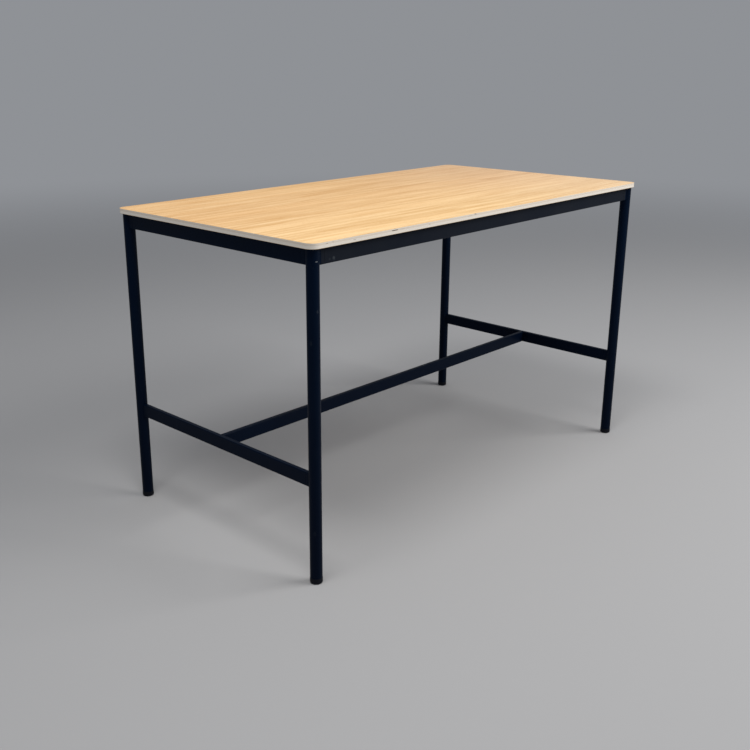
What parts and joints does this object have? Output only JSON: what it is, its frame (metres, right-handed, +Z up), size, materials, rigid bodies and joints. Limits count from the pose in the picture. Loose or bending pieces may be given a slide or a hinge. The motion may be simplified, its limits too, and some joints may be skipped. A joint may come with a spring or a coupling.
{
  "type": "standing meeting table",
  "caption": "Standing-height meeting table: oak veneered plywood top on a round-legged black metal frame with an H-shaped stretcher and levelling feet.",
  "frame": {"origin": "on the floor under the middle of the top, with the feet screwed right in", "axes": "+X along the table, +Y across it towards the back, +Z up"},
  "size_m": [1.6, 0.85, 0.95],
  "materials": {
    "oak": "matt lacquered oak veneer",
    "birch_ply": "sanded and lacquered plywood edge",
    "backing": "plain backing veneer",
    "frame_coat": "satin blue-black powder coat",
    "black_steel": "black oxide",
    "zinc_steel": "bright zinc plate",
    "cast_alloy": "as cast",
    "foot_plastic": "moulded black plastic"
  },
  "bodies": {
    "frame": {"oak_veneer": "oak", "plywood_core": "birch_ply", "backing_veneer": "backing", "top_inserts": "zinc_steel", "apron_front": "frame_coat", "apron_back": "frame_coat", "apron_left": "frame_coat", "apron_right": "frame_coat", "apron_screws": "black_steel", "leg_screws": "black_steel", "lug_screws": "zinc_steel", "apron_brackets": "frame_coat", "bracket_wall_screws": "zinc_steel", "bracket_top_screws": "zinc_steel", "leg_bushes": "zinc_steel", "socket_bolts": "zinc_steel", "rail_bushes": "zinc_steel", "centre_rail_bolts": "zinc_steel", "centre_rail": "frame_coat", "rail_screws": "black_steel", "end_rail_left": "frame_coat", "end_rail_right": "frame_coat", "centre_spigot_left": "cast_alloy", "centre_spigot_right": "cast_alloy", "corner_casting_front_left": "frame_coat", "leg_front_left": "frame_coat", "rail_socket_front_left": "frame_coat", "leg_plug_front_left": "cast_alloy", "corner_casting_front_right": "frame_coat", "leg_front_right": "frame_coat", "rail_socket_front_right": "frame_coat", "leg_plug_front_right": "cast_alloy", "corner_casting_back_right": "frame_coat", "leg_back_right": "frame_coat", "rail_socket_back_right": "frame_coat", "leg_plug_back_right": "cast_alloy", "corner_casting_back_left": "frame_coat", "leg_back_left": "frame_coat", "rail_socket_back_left": "frame_coat", "leg_plug_back_left": "cast_alloy"},
    "foot_front_left": {"foot_pad_front_left": "foot_plastic"},
    "stud_front_left": {"foot_stud_front_left": "zinc_steel"},
    "foot_front_right": {"foot_pad_front_right": "foot_plastic"},
    "stud_front_right": {"foot_stud_front_right": "zinc_steel"},
    "foot_back_right": {"foot_pad_back_right": "foot_plastic"},
    "stud_back_right": {"foot_stud_back_right": "zinc_steel"},
    "foot_back_left": {"foot_pad_back_left": "foot_plastic"},
    "stud_back_left": {"foot_stud_back_left": "zinc_steel"}
  },
  "joints": [
    {"name": "foot_travel_front_left", "type": "slide", "parent": "frame", "child": "foot_front_left", "axis": [0, 0, -1], "range_m": [0, 0.01]},
    {"name": "stud_turn_front_left", "type": "hinge", "parent": "foot_front_left", "child": "stud_front_left", "pos_m": [-0.7745, -0.3995, 0.0086], "axis": [0, 0, -1], "range_deg": [0, 2400]},
    {"name": "foot_travel_front_right", "type": "slide", "parent": "frame", "child": "foot_front_right", "axis": [0, 0, -1], "range_m": [0, 0.01]},
    {"name": "stud_turn_front_right", "type": "hinge", "parent": "foot_front_right", "child": "stud_front_right", "pos_m": [0.7745, -0.3995, 0.0086], "axis": [0, 0, -1], "range_deg": [0, 2400]},
    {"name": "foot_travel_back_right", "type": "slide", "parent": "frame", "child": "foot_back_right", "axis": [0, 0, -1], "range_m": [0, 0.01]},
    {"name": "stud_turn_back_right", "type": "hinge", "parent": "foot_back_right", "child": "stud_back_right", "pos_m": [0.7745, 0.3995, 0.0086], "axis": [0, 0, -1], "range_deg": [0, 2400]},
    {"name": "foot_travel_back_left", "type": "slide", "parent": "frame", "child": "foot_back_left", "axis": [0, 0, -1], "range_m": [0, 0.01]},
    {"name": "stud_turn_back_left", "type": "hinge", "parent": "foot_back_left", "child": "stud_back_left", "pos_m": [-0.7745, 0.3995, 0.0086], "axis": [0, 0, -1], "range_deg": [0, 2400]}
  ],
  "couplings": [
    {"joint": "stud_turn_front_left", "follows": "foot_travel_front_left", "rad_per_m": 4188.8},
    {"joint": "stud_turn_front_right", "follows": "foot_travel_front_right", "rad_per_m": 4188.8},
    {"joint": "stud_turn_back_right", "follows": "foot_travel_back_right", "rad_per_m": 4188.8},
    {"joint": "stud_turn_back_left", "follows": "foot_travel_back_left", "rad_per_m": 4188.8}
  ]
}
